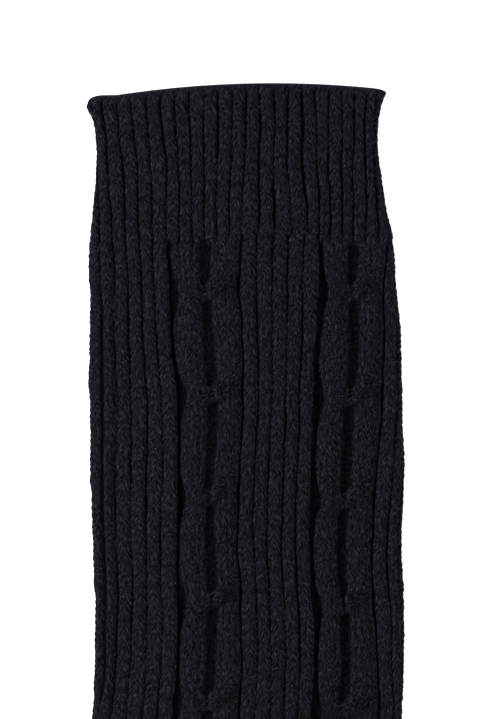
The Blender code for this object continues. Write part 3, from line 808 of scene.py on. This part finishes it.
def make_foot(material):
    """The foot: patterned on the instep, plain on the sole, from the heel's lower edge to the toe."""
    knit = Knit(FOOT_ZONES, True)
    run_count = round(FOOT_RUN / COURSE)
    course = course_rows(knit, BEND_COURSES + run_count)
    start = BEND_MIDDLE + heel_edge(knit.ribs)
    bent = start + (BEND_END - start) * course / BEND_COURSES
    along = BEND_END + FOOT_RUN * (course - BEND_COURSES) / run_count
    way = np.where(course <= BEND_COURSES, bent, along)
    lift, phase = surface(knit, course, way)
    wall = Wall(knit)
    wall.add(way, lift, phase)
    inner = np.linspace(1, 0, INNER_ROWS["foot"])[:, None]
    inner_way = way[0] + (way[-1] - way[0]) * inner
    wall.add(inner_way, -WALL + 0 * inner_way, inner_way / COURSE, outer=False)
    piece = wall.finish("foot_knit", material)
    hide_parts("foot")


def make_heel(material):
    """The turned heel: short rows that stop at the gore, first ever shorter and then ever longer."""
    knit = Knit(HEEL_ZONES, False)
    course = course_rows(knit, 2 * HEEL_COURSES)
    edge = heel_edge(knit.ribs)
    step = HEEL_SPREAD / HEEL_COURSES
    before = BEND_MIDDLE - np.maximum(edge - course * step, 0.0)
    after = BEND_MIDDLE + np.maximum(edge - (2 * HEEL_COURSES - course) * step, 0.0)
    way = np.where(course <= HEEL_COURSES, before, after)
    lift, phase = surface(knit, course, way)
    gore = np.abs(way - BEND_MIDDLE) < 1e-9
    lift = np.where(gore, -GORE_DEPTH, lift)
    wall = Wall(knit)
    wall.add(way, lift, phase)
    inner = np.linspace(1, -1, INNER_ROWS["heel"])[:, None]
    inner_way = BEND_MIDDLE + inner * edge
    wall.add(inner_way, -WALL + 0 * inner_way, inner_way / COURSE, outer=False)
    piece = wall.finish("heel_knit", material)
    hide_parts("heel")


def toe_points(place, share, lift):
    """Rings of the toe: the foot's last section drawn in to the tip.

    With t the share of the way to the tip, the width shrinks as the square root of 1 - t^n and the
    thickness as the square root of 1 - t^m, and the tip lies nearer the sole than the instep.
    """
    section = on_tube(place, np.full(place.shape, BEND_END + FOOT_RUN), lift)
    middle = INSTEP_Y - FOOT_WIDTH / 2
    width = np.sqrt(1 - share ** TOE_ROUNDNESS)
    height = np.sqrt(1 - share ** TOE_BLUNTNESS)
    length = TOE_LENGTH + np.minimum(lift, 0.0)
    x = section[..., 0] - share * length
    y = middle + (section[..., 1] - middle) * width - TOE_DROP * (1 - width)
    z = FOLD_RADIUS + (section[..., 2] - FOLD_RADIUS) * height
    return np.stack(np.broadcast_arrays(x, y, z), axis=-1)


def make_toe(material):
    """The closed toe in plain knit."""
    knit = Knit(TOE_ZONES, True)
    count = round(TOE_LENGTH / COURSE)
    course = course_rows(knit, count)
    share = np.clip(course / count, 0, 1)
    way = np.full(course.shape, BEND_END + FOOT_RUN)
    lift, phase = surface(knit, course, way)
    # the stitches run out in the last tenth
    lift = lift * (1 - ease((share - 0.9) / 0.1))
    place = girth_place(knit.ribs, way)
    outer = toe_points(place, share, lift)
    inner_share = np.linspace(1, 0, INNER_ROWS["toe"])[:, None] + 0 * knit.ribs
    inner_place = np.broadcast_to(place[0], inner_share.shape)
    inner = toe_points(inner_place, inner_share, np.full(inner_share.shape, -WALL))
    points = np.concatenate([outer, inner, outer[:1]])
    uv = np.concatenate([np.stack([place, phase * COURSE], axis=-1),
                         np.stack([inner_place, inner_share * TOE_LENGTH], axis=-1),
                         np.stack([place, phase * COURSE], axis=-1)[:1]]) / CM
    # the depth that sets the painted shade of the valleys
    crest = np.clip(1 + np.concatenate([lift, 0 * inner_share, lift[:1]]) / WALL, 0, 1)
    piece = make_piece("toe_knit", points, uv, crest, material)
    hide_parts("toe")


def linear(code):
    """An sRGB hex colour as linear RGBA."""
    parts = np.array([int(code[k:k + 2], 16) for k in (1, 3, 5)]) / 255
    parts = np.where(parts <= 0.04045, parts / 12.92, ((parts + 0.055) / 1.055) ** 2.4)
    return (*parts, 1.0)


def add_node(tree, kind, settings=None, inputs=None, links=None):
    """A node with its settings, its sockets' values, and links from other nodes' outputs."""
    node = tree.nodes.new(kind)
    for key, value in (settings or {}).items():
        setattr(node, key, value)
    for key, value in (inputs or {}).items():
        node.inputs[key].default_value = value
    for key, source in (links or {}).items():
        tree.links.new(source, node.inputs[key])
    return node


def heathered_wool():
    """Heathered navy wool-blend yarn: dyed fibres of several shades carded together, spun and plied.

    The eye sees a matt, almost black navy with streaks of bluish, greyish and a few brownish fibres
    that run along each stitch's legs, a few pale specks of lint, and no gloss. The valleys get painted
    shade: the colour is darkened by the depth held in the crest attribute.
    """
    material = bpy.data.materials.new("heathered_wool_yarn")
    material.use_nodes = True
    tree = material.node_tree
    shader = tree.nodes["Principled BSDF"]
    where = add_node(tree, "ShaderNodeUVMap", {"uv_map": "yarn"})

    def fibre_noise(scale, place, detail):
        """Noise with a number of spots to a centimetre, round the tube along the legs and across them.

        About ten to a centimetre, with finer detail, are as coarse as wisps of fibre show in the yarn.
        """
        spot = add_node(tree, "ShaderNodeMapping",
                        inputs={"Location": (*place, 0.0), "Scale": (*scale, 1.0)},
                        links={"Vector": where.outputs["UV"]})
        noise = add_node(tree, "ShaderNodeTexNoise", {"noise_dimensions": "2D"},
                         {"Scale": 1.0, "Detail": detail, "Roughness": 0.7},
                         {"Vector": spot.outputs["Vector"]})
        return noise.outputs["Fac"]

    # the wisps' shades, from almost black to grey
    streaks = fibre_noise((10.0, 9.0), (0.0, 0.0), 4.0)
    shades = add_node(tree, "ShaderNodeValToRGB", links={"Fac": streaks})
    ramp = shades.color_ramp
    ramp.elements[0].position = 0.36
    ramp.elements[0].color = linear("#020203")
    ramp.elements[1].position = 0.68
    ramp.elements[1].color = linear("#2b2c34")
    middle = ramp.elements.new(0.51)
    middle.color = linear("#0d0e11")
    # the bluish and brownish wisps
    odd = fibre_noise((8.0, 7.0), (3.7, 1.9), 2.0)
    blue_part = add_node(tree, "ShaderNodeMapRange", inputs={"From Min": 0.56, "From Max": 0.66},
                         links={"Value": odd})
    brown_part = add_node(tree, "ShaderNodeMapRange", inputs={"From Min": 0.37, "From Max": 0.30},
                          links={"Value": odd})
    bluish = add_node(tree, "ShaderNodeMix", {"data_type": "RGBA"}, {"B": linear("#151726")},
                      {"Factor": blue_part.outputs["Result"], "A": shades.outputs["Color"]})
    brownish = add_node(tree, "ShaderNodeMix", {"data_type": "RGBA"}, {"B": linear("#1e181b")},
                        {"Factor": brown_part.outputs["Result"], "A": bluish.outputs["Result"]})
    # the pale specks of lint
    lint = fibre_noise((24.0, 15.0), (5.1, 0.4), 0.0)
    lint_part = add_node(tree, "ShaderNodeMapRange", inputs={"From Min": 0.918, "From Max": 0.955},
                         links={"Value": lint})
    flecked = add_node(tree, "ShaderNodeMix", {"data_type": "RGBA"}, {"B": linear("#62636e")},
                       {"Factor": lint_part.outputs["Result"], "A": brownish.outputs["Result"]})
    # painted shade: the colour is darkened in the valleys by the crest attribute, down to 0.07 of it at
    # their floor
    crest = add_node(tree, "ShaderNodeAttribute", {"attribute_name": "crest"})
    deep = add_node(tree, "ShaderNodeMapRange",
                    inputs={"From Min": 0.02, "From Max": 0.42, "To Min": 0.07, "To Max": 1.0},
                    links={"Value": crest.outputs["Fac"]})
    yarn = add_node(tree, "ShaderNodeMix", {"data_type": "RGBA", "blend_type": "MULTIPLY"}, {"Factor": 1.0},
                    {"A": flecked.outputs["Result"], "B": deep.outputs["Result"]})
    tree.links.new(yarn.outputs["Result"], shader.inputs["Base Color"])
    # the loose ends of fibres, as a fine roughness of the surface
    hairs = fibre_noise((10.0, 12.0), (1.3, 7.7), 3.0)
    bump = add_node(tree, "ShaderNodeBump", inputs={"Strength": 1.0, "Distance": 0.4 * MM},
                    links={"Height": hairs})
    tree.links.new(bump.outputs["Normal"], shader.inputs["Normal"])
    shader.inputs["Roughness"].default_value = 1.0
    shader.inputs["Specular IOR Level"].default_value = 0.05
    shader.inputs["Sheen Weight"].default_value = 0.02
    shader.inputs["Sheen Roughness"].default_value = 0.5
    shader.inputs["Sheen Tint"].default_value = linear("#b9bccf")
    return material


def plain_floor():
    """A table of matt white acrylic, lit faintly from below, so that it burns out to white."""
    material = bpy.data.materials.new("white_acrylic")
    material.use_nodes = True
    tree = material.node_tree
    shader = tree.nodes["Principled BSDF"]
    where = add_node(tree, "ShaderNodeTexCoord")
    grain = add_node(tree, "ShaderNodeTexNoise", inputs={"Scale": 900.0, "Detail": 2.0},
                     links={"Vector": where.outputs["Object"]})
    rough = add_node(tree, "ShaderNodeMapRange", inputs={"To Min": 0.75, "To Max": 0.9},
                     links={"Value": grain.outputs["Fac"]})
    tree.links.new(rough.outputs["Result"], shader.inputs["Roughness"])
    shader.inputs["Base Color"].default_value = linear("#f4f4f4")
    shader.inputs["Emission Color"].default_value = (1.0, 1.0, 1.0, 1.0)
    shader.inputs["Emission Strength"].default_value = 0.55
    mesh = bpy.data.meshes.new("floor")
    corners = [(-1, -1), (1, -1), (1, 1), (-1, 1)]
    mesh.from_pydata([(FLOOR_HALF * x, FLOOR_HALF * y, 0) for x, y in corners], [], [(0, 1, 2, 3)])
    mesh.materials.append(material)
    floor = bpy.data.objects.new("floor", mesh)
    bpy.context.scene.collection.objects.link(floor)


def soft_box(name, place, aim, size, power):
    """A rectangular area lamp at a place, turned to its aim: its size is level first, then upwards."""
    data = bpy.data.lights.new(name, "AREA")
    data.shape = "RECTANGLE"
    data.size, data.size_y = size
    data.energy = power
    lamp = bpy.data.objects.new(name, data)
    bpy.context.scene.collection.objects.link(lamp)
    lamp.location = place
    away = np.array(place) - np.array(aim)
    yaw = math.atan2(away[0], -away[1])
    tilt = math.acos(away[2] / np.linalg.norm(away))
    lamp.rotation_euler = (tilt, 0.0, yaw)


def studio(centre):
    """Two strip boxes low at the sides, so that the valleys stay dark, and a pale room."""
    x, y = centre
    soft_box("left_box", (x - LAMP_SIDE, y, LAMP_HEIGHT), (x, y, 0.0), LAMP_SIZE, LEFT_POWER)
    soft_box("right_box", (x + LAMP_SIDE, y, LAMP_HEIGHT), (x, y, 0.0), LAMP_SIZE, RIGHT_POWER)
    world = bpy.data.worlds.new("pale_room")
    world.use_nodes = True
    world.node_tree.nodes["Background"].inputs["Color"].default_value = (1.0, 1.0, 1.0, 1.0)
    world.node_tree.nodes["Background"].inputs["Strength"].default_value = ROOM_LIGHT
    bpy.context.scene.world = world
    bpy.context.scene.view_settings.view_transform = "Standard"


def camera_above():
    """A long lens straight above the cuff and the upper leg, as the photograph is framed."""
    data = bpy.data.cameras.new("camera")
    data.sensor_width = SENSOR
    data.lens = SENSOR * (CAMERA_HEIGHT - FOLD_THICKNESS) / VIEW_HEIGHT
    data.clip_end = 10.0
    camera = bpy.data.objects.new("camera", data)
    bpy.context.scene.collection.objects.link(camera)
    camera.location = (VIEW_MIDDLE[0] + MOVE[0], VIEW_MIDDLE[1] + MOVE[1], CAMERA_HEIGHT)
    bpy.context.scene.camera = camera


wool = heathered_wool()
make_cuff(wool)
make_leg(wool)
make_foot(wool)
make_heel(wool)
make_toe(wool)
plain_floor()
studio(LIT_PLACE)
camera_above()
